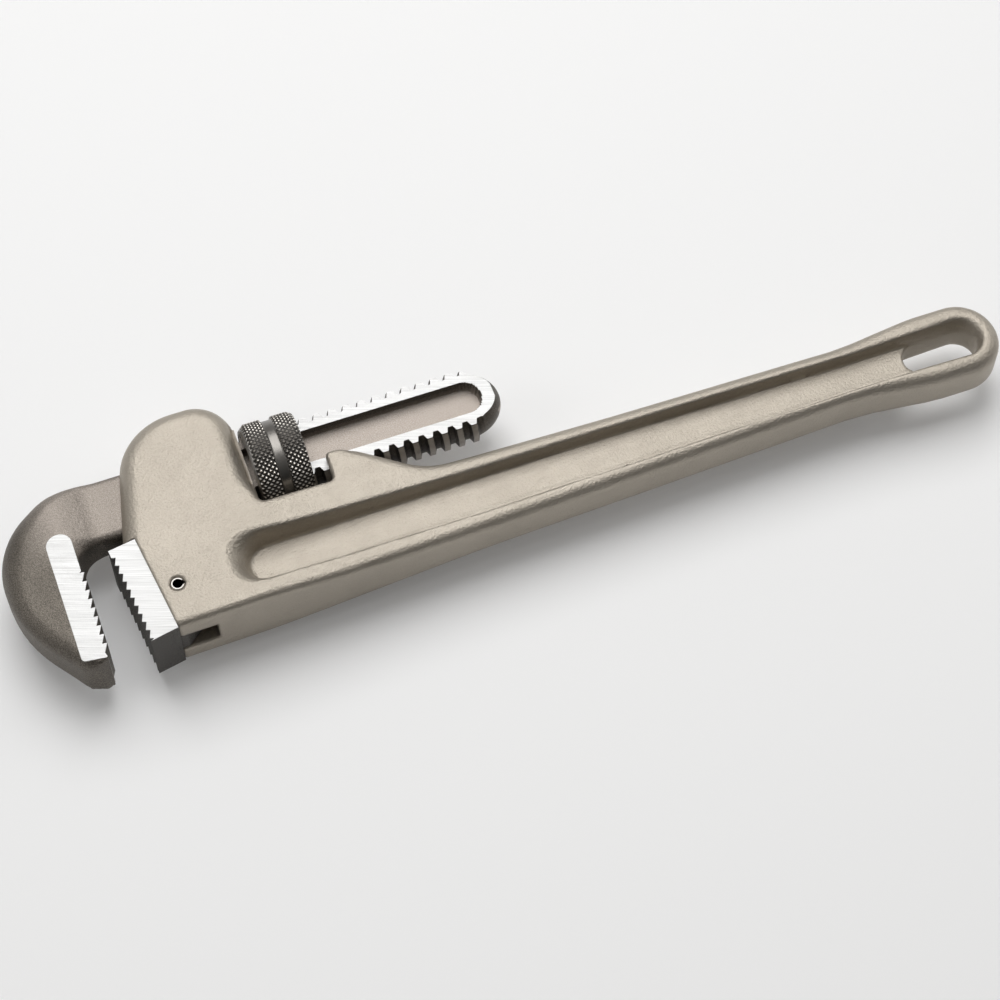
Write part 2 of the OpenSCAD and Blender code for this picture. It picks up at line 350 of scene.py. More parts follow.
def casting_lid(x, y):
    """Height of the casting's face over the plan. A drafted wall runs between two outlines,
    the pocket's lip and its floor: its share across is the distance outside the floor over
    the sum of both distances. The wall is steep at the floor and rolls over into the lip,
    because its rise is one less the power 2.1 of what is left of the way across."""
    top = half_thickness(x)
    inside, outside = pocket_floor(x, y), pocket_lip(x, y)
    across = np.clip(inside, 0, None) / np.maximum(np.clip(inside, 0, None) - outside, 1e-6)
    across = np.where(outside > 0, 1, np.clip(across, 0, 1))
    rise = (1 - (1 - across) ** 2.1) * ease(across, -0.12, 0.24)
    web = WEB_HALF + 0.3 * ease(inside, -2.9, -2.4) * ease(-y, 38, 42)
    return web + rise * (top - web)


def channel(p):
    """The slot that the shank runs in, wider towards its ends so that the jaw can rock."""
    x, y, z = p.T
    drop = np.abs(x) * ROCKING_ROOM
    roof = y - np.where(x < 0, CHANNEL_ROOF, 30) - drop
    floor = CHANNEL_FLOOR - drop - y
    return both(np.maximum(roof, floor), np.abs(z) - CHANNEL_HALF, 0.1)


def casting(p):
    """Distance to the casting: plan and lid rounded into each other, less heel jaw's seat,
    channel, tang slot, hang hole and pin hole. The radius grows up the head, along the
    grip and round the loop, and is small round the nut's window."""
    x, y, z = p.T
    side = plan(x, y)
    edge = 2.5 + (0.9 + 3.6 * (1 - ease(x, -12, 10))) * ease(y, -47, -38)
    edge = edge + 1.4 * ease(x, -20, 70)
    edge = edge + (4.4 - edge) * ease(x, REACH - 62, REACH - 36)
    window = np.maximum(np.maximum(x - 15, -20.5 - y), -x - 16)
    wall = ease(-x, 10.9, 11.5) * ease(y, -18, -6)
    edge = edge * (0.36 + 0.64 * np.maximum(ease(window, 4.5, 10), wall))
    lid = (np.abs(z) - casting_lid(x, y)) * 0.9
    body = both(side, lid, edge)
    seat = (x - SEAT[0, 0]) * SEAT_NORMAL[0] + (y - SEAT[0, 1]) * SEAT_NORMAL[1]
    body = cut(body, np.maximum(seat, y - SEAT_TOP), 0.7)
    body = cut(body, channel(p), 1.0)
    tang = np.maximum(np.maximum(x - TANG_END, y - TANG_TOP), np.abs(z) - TANG_SLOT_HALF)
    body = cut(body, tang, 0.7)
    hole = np.hypot(x - np.clip(x, HOLE_FIRST, HOLE_LAST), y - HOLE_Y) - HOLE_R
    body = cut(body, hole, 1.0)
    return cut(body, np.hypot(x - PIN[0], y - PIN[1]) - PIN_HOLE_R, 0.7)

# %% [markdown]
# ## Finishes as node groups
# Four effects come back on most of the metal: the skin of a casting, the lines of a
# grinding wheel, bright wear on edges and painted shade in corners. Each is a node group with its
# own inputs, built once, so that the same wear looks different on paint and on steel. A
# copied set of nodes would drift apart; a group stays one thing.


# %% Helpers for nodes
def add(tree, kind, links=None, **settings):
    """One node; links maps each input to a value or to another node's output."""
    made = tree.nodes.new(kind)
    for name, value in settings.items():
        setattr(made, name, value)
    for name, value in (links or {}).items():
        if isinstance(value, bpy.types.NodeSocket):
            tree.links.new(value, made.inputs[name])
        else:
            made.inputs[name].default_value = value
    return made


def group(name, inputs, outputs):
    """An empty node group with float inputs (Vector is a vector) and float outputs."""
    tree = bpy.data.node_groups.new(name, "ShaderNodeTree")
    for label, value in inputs.items():
        kind = "NodeSocketVector" if value is None else "NodeSocketFloat"
        made = tree.interface.new_socket(label, in_out="INPUT", socket_type=kind)
        if value is not None:
            made.default_value = value
    for label in outputs:
        tree.interface.new_socket(label, in_out="OUTPUT", socket_type="NodeSocketFloat")
    return tree, tree.nodes.new("NodeGroupInput").outputs, tree.nodes.new("NodeGroupOutput")


def maths(tree, operation, a, b=0.5, c=0.5):
    """One Math node on up to three values or outputs."""
    return add(tree, "ShaderNodeMath", {0: a, 1: b, 2: c}, operation=operation).outputs[0]


def noise(tree, vector, scale, detail=3.0, rough=0.5):
    """Noise about 0.5 with features about 1 / scale metres across."""
    return add(tree, "ShaderNodeTexNoise", {"Vector": vector, "Scale": scale, "Detail": detail,
                                            "Roughness": rough}).outputs["Fac"]


def span(tree, value, low, high, out_low=0.0, out_high=1.0):
    """A value carried from one range to another, and kept inside it."""
    return add(tree, "ShaderNodeMapRange", {"Value": value, "From Min": low, "From Max": high,
                                            "To Min": out_low, "To Max": out_high}).outputs[0]


# %% The four groups
def cast_skin():
    """Sand or shot leaves soft lumps about a millimetre across with a finer grain on them.
    Mottle is the slow change of tone over centimetres."""
    tree, given, out = group("cast skin", {"Vector": None, "Lump": 800.0, "Grain": 2600.0},
                             ["Height", "Mottle", "Speckle"])
    lumps = noise(tree, given["Vector"], given["Lump"], 2.0)
    grain = noise(tree, given["Vector"], given["Grain"], 3.0, 0.6)
    both_heights = maths(tree, "MULTIPLY_ADD", grain, 0.45, lumps)
    tree.links.new(both_heights, out.inputs["Height"])
    slow = noise(tree, given["Vector"], 45.0, 3.0, 0.6)
    tree.links.new(span(tree, slow, 0.3, 0.7), out.inputs["Mottle"])
    tree.links.new(span(tree, grain, 0.40, 0.64), out.inputs["Speckle"])
    return tree


def ground_lines():
    """A grinding wheel leaves fine parallel lines: noise squeezed across the stroke and
    drawn out along it, with a few longer scratches that cross them."""
    tree, given, out = group("ground lines", {"Vector": None, "Turn": 0.3}, ["Height", "Tone"])
    parts = []
    for angle, stretch, fine in ((0.0, 60.0, 4200.0), (0.9, 25.0, 1500.0)):
        turn = maths(tree, "ADD", given["Turn"], angle)
        turned = add(tree, "ShaderNodeVectorRotate", {"Vector": given["Vector"], "Angle": turn},
                     rotation_type="Z_AXIS")
        drawn = add(tree, "ShaderNodeVectorMath",
                    {0: turned.outputs[0], 1: (stretch, fine, fine)}, operation="MULTIPLY")
        parts.append(noise(tree, drawn.outputs[0], 1.0, 3.0, 0.55))
    scratches = span(tree, parts[1], 0.62, 0.72)
    tree.links.new(maths(tree, "MULTIPLY_ADD", scratches, -0.5, parts[0]), out.inputs["Height"])
    tree.links.new(span(tree, parts[0], 0.3, 0.7), out.inputs["Tone"])
    return tree


def edge_wear():
    """Handling rubs proud edges bright. Edge says how far each stands out; noise breaks
    the band up so that it is never an even stripe."""
    tree, given, out = group("edge wear", {"Vector": None, "Edge": 0.0, "Start": 0.3,
                                           "End": 0.7}, ["Mask"])
    broken = noise(tree, given["Vector"], 420.0, 4.0, 0.65)
    ragged = maths(tree, "MULTIPLY_ADD", maths(tree, "SUBTRACT", broken, 0.5), 0.6,
                   given["Edge"])
    tree.links.new(span(tree, ragged, given["Start"], given["End"]), out.inputs["Mask"])
    return tree


def painted_shade_group():
    """Painted shade: it darkens the colour where shade falls in corners. Hollow says how far each
    point lies in a corner, and noise makes the edge of the painted shade uneven."""
    tree, given, out = group("painted corner shade", {"Vector": None, "Hollow": 0.0, "Amount": 0.6},
                             ["Mask"])
    patches = noise(tree, given["Vector"], 160.0, 4.0, 0.6)
    ragged = maths(tree, "MULTIPLY", given["Hollow"], span(tree, patches, 0.25, 0.6, 0.4, 1.3))
    tree.links.new(maths(tree, "MULTIPLY", ragged, given["Amount"]), out.inputs["Mask"])
    return tree


# The fourth group paints shade into corners.
SKIN, LINES, WEAR, SHADE_GROUP = cast_skin(), ground_lines(), edge_wear(), painted_shade_group()
print("groups:", [g.name for g in bpy.data.node_groups])

# %% [markdown]
# ## The materials
# Each material keeps its own Principled shader, and the groups only feed its colour,
# roughness and bump. The coat on the casting is a metallic lacquer, so it is mostly metal
# with a wide highlight. The forging is scale and shot-blast grey; where a wheel has been
# over it, a mask from the height of the point turns it to bare ground steel.


# %% A material's frame
class Finish:
    """A material under way: its tree, its shader, the Object coordinates and the marks
    that the pieces carry."""

    def __init__(self, name, **plain):
        self.material = bpy.data.materials.new(name)
        self.material.use_nodes = True
        self.tree = self.material.node_tree
        self.shader = self.tree.nodes["Principled BSDF"]
        for label, value in plain.items():
            self.shader.inputs[label.replace("_", " ")].default_value = value
        self.place = add(self.tree, "ShaderNodeTexCoord").outputs["Object"]

    def mark(self, name):
        """One of the values per point that a piece carries."""
        return add(self.tree, "ShaderNodeAttribute", attribute_name=name).outputs["Fac"]

    def effect(self, tree, **links):
        """The outputs of one of the four groups, fed with values or outputs."""
        made = add(self.tree, "ShaderNodeGroup", node_tree=tree)
        for label, value in {"Vector": self.place, **links}.items():
            if isinstance(value, bpy.types.NodeSocket):
                self.tree.links.new(value, made.inputs[label])
            else:
                made.inputs[label].default_value = value
        return made.outputs

    def mix(self, share, a, b):
        """A colour that goes from a to b with the share."""
        made = add(self.tree, "ShaderNodeMix", data_type="RGBA")
        for label, value in (("Factor", share), ("A", a), ("B", b)):
            socket = [s for s in made.inputs if s.name == label and s.enabled][0]
            if isinstance(value, bpy.types.NodeSocket):
                self.tree.links.new(value, socket)
            else:
                socket.default_value = (*value, 1) if label != "Factor" else value
        return [s for s in made.outputs if s.enabled][0]

    def feed(self, label, value):
        """Joins an output to an input of the shader."""
        self.tree.links.new(value, self.shader.inputs[label])

    def bump(self, height, depth, strength=1.0, after=None):
        """A Bump node whose depth is in metres."""
        links = {"Height": height, "Distance": depth, "Strength": strength}
        if after is not None:
            links["Normal"] = after
        return add(self.tree, "ShaderNodeBump", links).outputs["Normal"]


# %% Lacquered casting
def coated_aluminium():
    """Champagne lacquer over a fine cast skin."""
    f = Finish("champagne lacquer", Metallic=0.86, Coat_Weight=0.05, Coat_Roughness=0.3)
    skin_of = f.effect(SKIN, Lump=1150.0, Grain=3100.0)
    # Painted shade: corners and hollows of the lacquer are darkened towards dark brown, and made
    # rougher.
    corner_shade = f.effect(SHADE_GROUP, Hollow=f.mark("hollow"), Amount=0.55)["Mask"]
    wear = f.effect(WEAR, Edge=f.mark("edge"), Start=0.62, End=1.05)["Mask"]
    tone = f.mix(skin_of["Mottle"], (0.425, 0.384, 0.327), (0.465, 0.421, 0.360))
    tone = f.mix(corner_shade, tone, (0.14, 0.11, 0.08))
    f.feed("Base Color", f.mix(wear, tone, (0.50, 0.46, 0.41)))
    rough = maths(f.tree, "MULTIPLY_ADD", skin_of["Speckle"], 0.10, 0.43)
    f.feed("Roughness", maths(f.tree, "MULTIPLY_ADD", corner_shade, 0.25, rough))
    f.feed("Normal", f.bump(skin_of["Height"], 0.00026))
    return f.material


# %% Forged and ground steel
def forged_steel(name, ground_from, dark, grain=1500.0):
    """Dark forging, painted paler where its mark says so: a painted sheen on the arm's flat
    faces, and the real grey of the shank's recess floor. Faces marked bare, further than
    ground_from (metres) from the middle plane, have been ground to bright steel."""
    f = Finish(name, Specular_IOR_Level=0.5)
    skin_of = f.effect(SKIN, Lump=1100.0, Grain=grain * 2)
    lines = f.effect(LINES, Turn=0.35)
    height = add(f.tree, "ShaderNodeSeparateXYZ", {0: f.place}).outputs["Z"]
    away = maths(f.tree, "ABSOLUTE", maths(f.tree, "SUBTRACT", height, float(CENTRE[2])))
    ground = maths(f.tree, "MULTIPLY", span(f.tree, away, ground_from - 0.00006, ground_from),
                   f.mark("bare"))
    # Painted shade: corners and hollows are darkened almost to black.
    corner_shade = f.effect(SHADE_GROUP, Hollow=f.mark("hollow"), Amount=0.7)["Mask"]
    wear = f.effect(WEAR, Edge=f.mark("edge"), Start=0.45, End=1.0)["Mask"]
    scale = tuple(c * 3.6 for c in dark)
    tone = f.mix(skin_of["Speckle"], dark, scale)
    tone = f.mix(f.mix(skin_of["Mottle"], (0, 0, 0), (0.45, 0.45, 0.45)), tone, dark)
    tone = f.mix(corner_shade, tone, (0.02, 0.018, 0.016))
    # Faces marked pale get a painted sheen, as if they caught the key light; on the recess floor
    # it is that floor's own grey.
    tone = f.mix(f.mark("pale"), tone, f.mix(skin_of["Speckle"], (0.30, 0.26, 0.225),
                                             (0.50, 0.45, 0.41)))
    tone = f.mix(wear, tone, (0.42, 0.39, 0.36))
    bare = f.mix(lines["Tone"], (0.70, 0.70, 0.695), (0.84, 0.84, 0.835))
    f.feed("Base Color", f.mix(ground, tone, bare))
    f.feed("Metallic", span(f.tree, ground, 0, 1, 0.72, 1.0))
    rough = maths(f.tree, "MULTIPLY_ADD", skin_of["Speckle"], 0.12, 0.46)
    smoother = maths(f.tree, "MULTIPLY_ADD", lines["Tone"], -0.12, 0.24)
    f.feed("Roughness", maths(f.tree, "MULTIPLY_ADD", ground, smoother, rough))
    coarse = f.bump(maths(f.tree, "MULTIPLY", skin_of["Height"],
                          maths(f.tree, "MULTIPLY_ADD", ground, -0.95, 1.0)), 0.00018)
    fine = maths(f.tree, "MULTIPLY", lines["Height"], ground)
    f.feed("Normal", f.bump(fine, 0.00001, 0.6, coarse))
    return f.material


# %% Nut, pin and springs
def oxide_steel():
    """Black oxide, with the points of the knurl worn back to bright steel, and painted shade,
    almost black, in the knurl's valleys and the bore.
    """
    f = Finish("black oxide", Metallic=1.0)
    skin_of = f.effect(SKIN, Lump=1500.0, Grain=5200.0)
    wear = f.effect(WEAR, Edge=f.mark("edge"), Start=0.40, End=0.85)["Mask"]
    # Painted shade in the knurl valleys and the bore.
    dark = f.mark("hollow")
    tone = f.mix(skin_of["Mottle"], (0.20, 0.19, 0.177), (0.26, 0.248, 0.232))
    tone = f.mix(dark, tone, (0.035, 0.032, 0.03))
    f.feed("Base Color", f.mix(wear, tone, (0.80, 0.76, 0.70)))
    f.feed("Roughness", maths(f.tree, "MULTIPLY_ADD", skin_of["Speckle"], 0.14, 0.28))
    f.feed("Normal", f.bump(skin_of["Height"], 0.00002))
    return f.material


def drawn_steel(name, tone, rough):
    """Drawn strip or wire: bright, with lines along the pull."""
    f = Finish(name, Metallic=1.0)
    lines = f.effect(LINES, Turn=1.2)
    # Painted shade: hollow points, such as the pin's bore, are darkened almost to black.
    corner_shade = f.effect(SHADE_GROUP, Hollow=f.mark("hollow"), Amount=0.9)["Mask"]
    dull = tuple(0.7 * c for c in tone)
    f.feed("Base Color", f.mix(corner_shade, f.mix(lines["Tone"], dull, tone), (0.03, 0.028, 0.025)))
    f.feed("Roughness", maths(f.tree, "MULTIPLY_ADD", lines["Tone"], 0.14, rough))
    f.feed("Normal", f.bump(lines["Height"], 0.000008))
    return f.material


CASTING = coated_aluminium()
FORGING = forged_steel("forged hook", (HOOK_HALF - 0.05) * MM, (0.080, 0.071, 0.060))
SHANK = forged_steel("ground shank", SHANK_HALF * MM - 0.00003, (0.075, 0.067, 0.058))
HEEL = forged_steel("ground heel jaw", (HEEL_HALF - 0.05) * MM, (0.060, 0.057, 0.053), 2200.0)
OXIDE = oxide_steel()
PIN_STEEL = drawn_steel("pin steel", (0.50, 0.48, 0.45), 0.30)
SPRING_STEEL = drawn_steel("spring steel", (0.42, 0.40, 0.38), 0.30)
print("materials:", [m.name for m in bpy.data.materials])

# %% [markdown]
# ## The casting's skin
# The distance is sampled on cells of under a millimetre, fine enough for its smallest
# fillet. The two marks come from the same distance: under a proud edge it falls away
# faster than on a flat, and over a corner it rises slower.

# %% Make the casting
CAST_STEP = 0.9
points, faces = skin(casting, handle_low - 2, handle_high + 2, CAST_STEP)
# edge marks proud edges for wear; hollow marks corners for painted shade.
edge, hollow = exposure(casting, points)
handle_piece = piece("handle_casting", points, faces, "casting", "casting", CASTING,
                     edge=edge, hollow=hollow)
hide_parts("handle")

# %% [markdown]
# ## The hook: a forging with a ground face
# The hook is struck hot in a die, so its back is as round as the casting, but its side
# faces and teeth are cut afterwards. It is made the same way, twice: the forging as a
# distance, with its face set just under the ground one, and the ground strip with its
# teeth as a plate with crisp edges that stands a hair proud of it.

# %% The forging
HOOK_REACH = hook_low[0]
HOOK_LOW = hook_low[1]
TOOTH_X = -73.9
TEETH_TOP = -23.6
TEETH_LOW = -57.0
TOOTH_PITCH = 3.5
HOOK_TEETH = 9
CREST_R = 12.84
ROOT_R = CREST_R - 1.74
ARM_END = -44.0
# Share of painted sheen on the arm's flat faces.
PAINTED_SHEEN = 0.62
hook_plan = Field(rounded([
    (-30, -12.2, 0), (-30, 12.4, 0), (-66, 12.2, 60), (HOOK_REACH + 0.4, 10.8, 29),
    (HOOK_REACH + 0.4, -33.6, 46),
    (-82.9, HOOK_LOW, 7), (-77.8, HOOK_LOW, 3), (TOOTH_X - 0.1, HOOK_LOW + 1.9, 0.6),
    (TOOTH_X - 0.1, TEETH_LOW - 0.1, 0.3), (TOOTH_X - 1.2, TEETH_LOW + 0.4, 0.3),
    (TOOTH_X - 1.2, -12.2, 9)]))


def forging(p):
    """Plan and lid rounded into each other. The lid is the hook's face, easing down to
    the arm's, and the arm is a bar turned round the shank's axis, flattened on two sides.
    Its end is sunk a little, so that it hides inside the shank."""
    x, y, z = p.T
    along = ease(x, -80, -61)
    top = (HOOK_HALF - 0.12) * (1 - along) + SHANK_HALF * along
    side = hook_plan(x, y)
    edge = 3.2 + 2.4 * ease(-x, 78, 88) + 4.0 * ease(-x, 66, 80) * ease(y, -34, -8)
    throat = ease(x, -80, -76.5) * ease(-y, 12, 20)
    edge = edge * (1 - throat) + 0.35 * throat
    body = both(side, np.abs(z) - top, edge)
    near = ease(x, -76, -60)
    sunk = 0.35 * ease(x, ARM_END - 2.6, ARM_END - 1.4)
    bar = np.maximum(np.hypot(y, z) - CREST_R, np.abs(z) - SHANK_HALF)
    body = np.maximum(body, (bar + sunk) * near + (1 - near) * (body - 1))
    return np.maximum(body, x - ARM_END)


points, faces = skin(forging, hook_low - 2, np.array([ARM_END + 2, 15, HOOK_HALF + 2]), 0.8)
edge, hollow = exposure(forging, points)
# Painted sheen: the arm's flat faces are painted paler, as if they mirrored the key light.
arm_sheen = PAINTED_SHEEN * ease(points[:, 0], -94, -76) * ease(np.abs(points[:, 2]), 4.6, 6.0)
arm_sheen = arm_sheen * ease(points[:, 1], -22, -6)
hook_piece = piece("hook_forging", points, faces, "hook", "forging", FORGING,
                   edge=edge, hollow=hollow, pale=arm_sheen)
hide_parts("hook_jaw")


# %% Plates with crisp edges
def plate(outline, half, bevel):
    """An outline drawn through the thickness: four rings (inset, full, full, inset) and
    two flat caps, so that every rim has a narrow bevel. The inset moves each corner
    along the mean of its two sides' normals."""
    before, after = outline - np.roll(outline, 1, 0), np.roll(outline, -1, 0) - outline
    normals = [np.stack([d[:, 1], -d[:, 0]], 1) / np.linalg.norm(d, axis=1, keepdims=True)
               for d in (before, after)]
    middle = normals[0] + normals[1]
    middle /= np.maximum((middle * normals[0]).sum(1, keepdims=True), 0.6)
    turn = (outline[:, 0] * np.roll(outline[:, 1], -1)
            - outline[:, 1] * np.roll(outline[:, 0], -1)).sum()
    inset = outline - np.sign(turn) * bevel * middle
    n = len(outline)
    rings = [(inset, -half), (outline, bevel - half), (outline, half - bevel), (inset, half)]
    points = np.concatenate([np.column_stack([ring, np.full(n, z)]) for ring, z in rings])
    i = np.arange(n)
    j = (i + 1) % n
    faces = [np.stack([i + k * n, j + k * n, j + (k + 1) * n, i + (k + 1) * n], 1)
             for k in range(3)]
    faces = [list(f) for f in np.concatenate(faces)] + [list(i[::-1]), list(i + 3 * n)]
    if turn < 0:
        faces = [f[::-1] for f in faces]
    return points, faces


def crisp(obj, angle=28):
    """Smooth shading that breaks at every edge sharper than angle degrees."""
    obj.data.set_sharp_from_angle(angle=np.radians(angle))
    return obj


# %% The hook's ground strip and teeth
STRIP_LEFT = -83.7
notch = TEETH_TOP - TOOTH_PITCH * np.arange(HOOK_TEETH, -1, -1)
tips = np.stack([np.full(HOOK_TEETH, TOOTH_X), notch[1:] - 0.15], 1)
roots = np.stack([np.full(HOOK_TEETH, TOOTH_X - 1.6), notch[1:]], 1)
hook_teeth = np.stack([tips, roots], 1).reshape(-1, 2)
strip = np.concatenate([
    [[TOOTH_X - 1.6, notch[0]]], hook_teeth,
    rounded([(TOOTH_X - 0.9, TEETH_TOP + 0.5, 0), (TOOTH_X - 0.9, -6.9, 4.2),
             (STRIP_LEFT, -6.9, 4.6), (STRIP_LEFT + 0.2, -55.9, 1.6),
             (TOOTH_X - 1.2, TEETH_LOW, 0.5)])])
points, faces = plate(strip, HOOK_HALF, 0.12)
piece("hook_ground_teeth", points, faces, "hook", "forging", FORGING, smooth=False,
      bare=np.ones(len(points)))


# %% [markdown]
# ## The threaded shank
# The thread is a helix that two flats cut away, so it is easiest to make the way a lathe
# and a mill do: a section goes round from flat to arc to flat, and its radius at each
# point says how far that place along x is from the nearest tooth. Thread, flats, recess
# and the round end are then one sheet of points, with no booleans between them.

# %% Thread and shank
PITCH = 5.35
TIP_LAND = 0.38 * PITCH
ROOT_LAND = 0.66 * PITCH
THREAD_START = -18.0
GAP_X = THREAD_START + 1
GROUND_FROM = -9.2
CROWN_X = 68.7
CROWN_LEN = 12.8
RECESS_FIRST, RECESS_LAST, RECESS_R, RECESS_DEPTH = -30.0, 74.4, 6.35, 4.3
FLAT_HALF = 6.7


def thread_share(x, turn, first, tip, base):
    """0 at the foot and 1 on the land of a helical tooth: x is carried back along the helix
    by turn (in revolutions), wrapped to one pitch and compared with the tooth's widths."""
    off = np.abs((x - first - PITCH * turn + PITCH / 2) % PITCH - PITCH / 2)
    return np.clip((base / 2 - off) / (base - tip) * 2, 0, 1)


def shank_radius(x, angle):
    """Radius of the shank: full up to the thread, then root plus teeth, then the crown,
    an ellipse that closes the end."""
    teeth = thread_share(x, angle / (2 * np.pi), GAP_X + PITCH / 2, TIP_LAND, ROOT_LAND)
    teeth = teeth * (1 - ease(x, CROWN_X + 1.5, CROWN_X + 4.5))
    plain = 1 - ease(x, THREAD_START, THREAD_START + 0.9)
    r = ROOT_R + (CREST_R - ROOT_R) * np.maximum(teeth, plain)
    t = np.clip((x - CROWN_X) / CROWN_LEN, 0, 1)
    return r * np.sqrt(1 - t * t)


def recess_floor(x, y):
    """How far the recess is sunk into a flat: full inside its stadium outline, with a wall
    a third of a millimetre wide."""
    inner = np.clip(x, RECESS_FIRST + RECESS_R, RECESS_LAST - RECESS_R)
    return RECESS_DEPTH * (1 - ease(np.hypot(x - inner, y) - RECESS_R, -0.22, 0.12))


def shank():
    """Rings along x. Each has an arc, a flat, the other arc and the other flat. An arc ends
    where its radius times the sine of its angle is half the shank's thickness. The flats'
    columns are closest at the recess's wall, and the crown's rings close up to its tip."""
    body = np.arange(ARM_END - 2, CROWN_X + 4, 0.25)
    tip = CROWN_X + CROWN_LEN * np.sin(np.linspace(np.arcsin(4 / CROWN_LEN), np.pi / 2, 28))
    x = np.concatenate([body, tip[1:-1], [CROWN_X + CROWN_LEN - 0.004]])[:, None]
    middle = np.concatenate([np.linspace(-6.05, 6.05, 31), [6.3, 6.46, FLAT_HALF]])
    middle = np.sort(np.unique(np.round(np.concatenate([middle, -middle[-3:]]), 3)))
    arc = np.linspace(-1, 1, 23)
    arcs = []
    for corner in (0, np.pi):
        ends = []
        for side in (-1, 1):
            a = 0.5 + 0 * x
            for _ in range(8):
                a = np.arcsin(np.minimum(SHANK_HALF / shank_radius(x, corner + side * a), 0.94))
            ends.append(side * a)
        angle = corner + ends[0] + (ends[1] - ends[0]) * (arc + 1) / 2
        r = shank_radius(x, angle)
        arcs.append(np.stack([x + 0 * angle, r * np.cos(angle), r * np.sin(angle)], -1))
    ramp = np.linspace(0, 1, 10)[1:-1]
    columns = []
    for k, side in ((0, 1), (1, -1)):
        start, stop = arcs[k][:, -1], arcs[1 - k][:, 0]
        room = np.minimum(np.abs(start), np.abs(stop))[:, 1:2] * 0.9
        wide = FLAT_HALF * np.minimum(1, room / FLAT_HALF)
        inner = -side * middle * wide / FLAT_HALF
        y = np.concatenate([start[:, 1:2] + (side * wide - start[:, 1:2]) * ramp, inner,
                            -side * wide + (stop[:, 1:2] + side * wide) * ramp], 1)
        t = (y - start[:, 1:2]) / (stop[:, 1:2] - start[:, 1:2])
        z = start[:, 2:] + (stop[:, 2:] - start[:, 2:]) * t
        z = z - side * recess_floor(x, y) * np.minimum(1, np.abs(z) / SHANK_HALF)
        columns += [arcs[k], np.stack([x + 0 * y, y, z], -1)]
    return np.concatenate(columns, 1)


def tube(grid):
    """Faces of a grid of rings whose columns go right round, with one face at each end."""
    rows, cols = grid.shape[:2]
    i, j = np.meshgrid(np.arange(rows - 1), np.arange(cols), indexing="ij")
    k = (j + 1) % cols
    quads = np.stack([i * cols + j, i * cols + k, (i + 1) * cols + k, (i + 1) * cols + j], -1)
    caps = [list(range(cols))[::-1], list((rows - 1) * cols + np.arange(cols))]
    return grid.reshape(-1, 3), quads.reshape(-1, 4).tolist() + caps


points, faces = tube(shank())
along, height = points[:, 0], np.abs(points[:, 2])
from_axis = np.hypot(points[:, 1], points[:, 2])
off_flat = height < SHANK_HALF - 0.1
in_recess = (np.abs(points[:, 1]) < 6.5) & (height < SHANK_HALF - 0.5)
# Painted shade: off the flats the thread is darkened almost to black, less on the crown, and the
# recess a little.
hollow = np.where(off_flat, 0.9, 0) * (1 - 0.9 * ease(along, CROWN_X, CROWN_X + 4))
hollow[in_recess] = 0.1
# The recess floor is its own paler grey; the flats next to the arm get the arm's painted sheen.
pale = in_recess & (height < SHANK_HALF - RECESS_DEPTH + 0.3)
pale = np.maximum(pale, PAINTED_SHEEN * (height > SHANK_HALF - 0.1) * (along < GROUND_FROM + 0.4))
edge = np.clip((from_axis - CREST_R + 0.5) / 0.5, 0, 1) * off_flat * (along > THREAD_START)
crisp(piece("threaded_shank", points, faces, "hook", "forging", SHANK, edge=edge,
            hollow=hollow, pale=pale, bare=ease(along, GROUND_FROM, GROUND_FROM + 0.4)), 34)

# %% [markdown]
# ## The heel jaw
# A hardened block that can be replaced when its teeth are worn: its tang drops into a slot
# in the casting and a rolled pin holds it. All its faces are cut, so it is two plates with
# narrow bevels. Each tooth slopes out and drops back square, against the hook's.

# %% Heel jaw and its tang
HEEL_TOP = np.array([-64.5, -19.8])
HEEL_LOW = np.array([-60.3, -57.0])
HEEL_TEETH = 10
along = (HEEL_LOW - HEEL_TOP) / np.linalg.norm(HEEL_LOW - HEEL_TOP)
out = np.array([along[1], -along[0]])
tooth_step = (np.linalg.norm(HEEL_LOW - HEEL_TOP) - 4) / HEEL_TEETH
foot = HEEL_TOP + (3.1 + tooth_step * np.arange(HEEL_TEETH + 1)[:, None]) * along
notches = np.stack([foot - 1.3 * out + 0.12 * tooth_step * along,
                    foot + 0.93 * tooth_step * along], 1)
block = np.concatenate([[HEEL_TOP, HEEL_TOP + 3.0 * along], notches.reshape(-1, 2)[:-1],
                        [HEEL_LOW], [SEAT[1], SEAT[0]]])
points, faces = plate(block, HEEL_HALF, 0.12)
heel_piece = piece("heel_jaw_block", points, faces, "casting", "jaw_steel", HEEL, smooth=False,
                   bare=np.ones(len(points)))
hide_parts("heel_jaw")

tang = rounded([(SEAT[0, 0] - 1, SEAT[0, 1] - 9, 0), (-40, -27, 1.5), (-39.0, -47.6, 1.0),
                (SEAT[1, 0] + 2.5, -54.6, 1.0), (SEAT[1, 0] - 1, -54.6, 0)])
points, faces = plate(tang, TANG_SLOT_HALF - 0.15, 0.2)
piece("heel_jaw_tang", points, faces, "casting", "jaw_steel", HEEL, smooth=False)

# %% [markdown]
# ## The rolled pin
# A strip of spring steel rolled into a split tube. It is squeezed as it is driven in, and its
# push outwards keeps it there. Its ends are chamfered to find the hole.

# %% Pin
PIN_R = 2.45
PIN_BORE_R = 1.4
SLIT = 0.14
angle = np.linspace(SLIT, 2 * np.pi - SLIT, 40)
circle = np.stack([np.cos(angle), np.sin(angle)], 1)
ring = np.concatenate([PIN_R * circle, PIN_BORE_R * circle[::-1]]) + PIN
points, faces = plate(ring, HEAD_HALF - 0.3, 0.35)
radius = np.hypot(*(points[:, :2] - PIN).T)
# Painted shade: the bore is marked hollow, so that it is painted almost black.
pin_piece = crisp(piece("rolled_pin", points, faces, "casting", "pin_steel", PIN_STEEL,
                        hollow=np.clip((1.7 - radius) / 0.2, 0, 1)))
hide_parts("heel_jaw_pin")

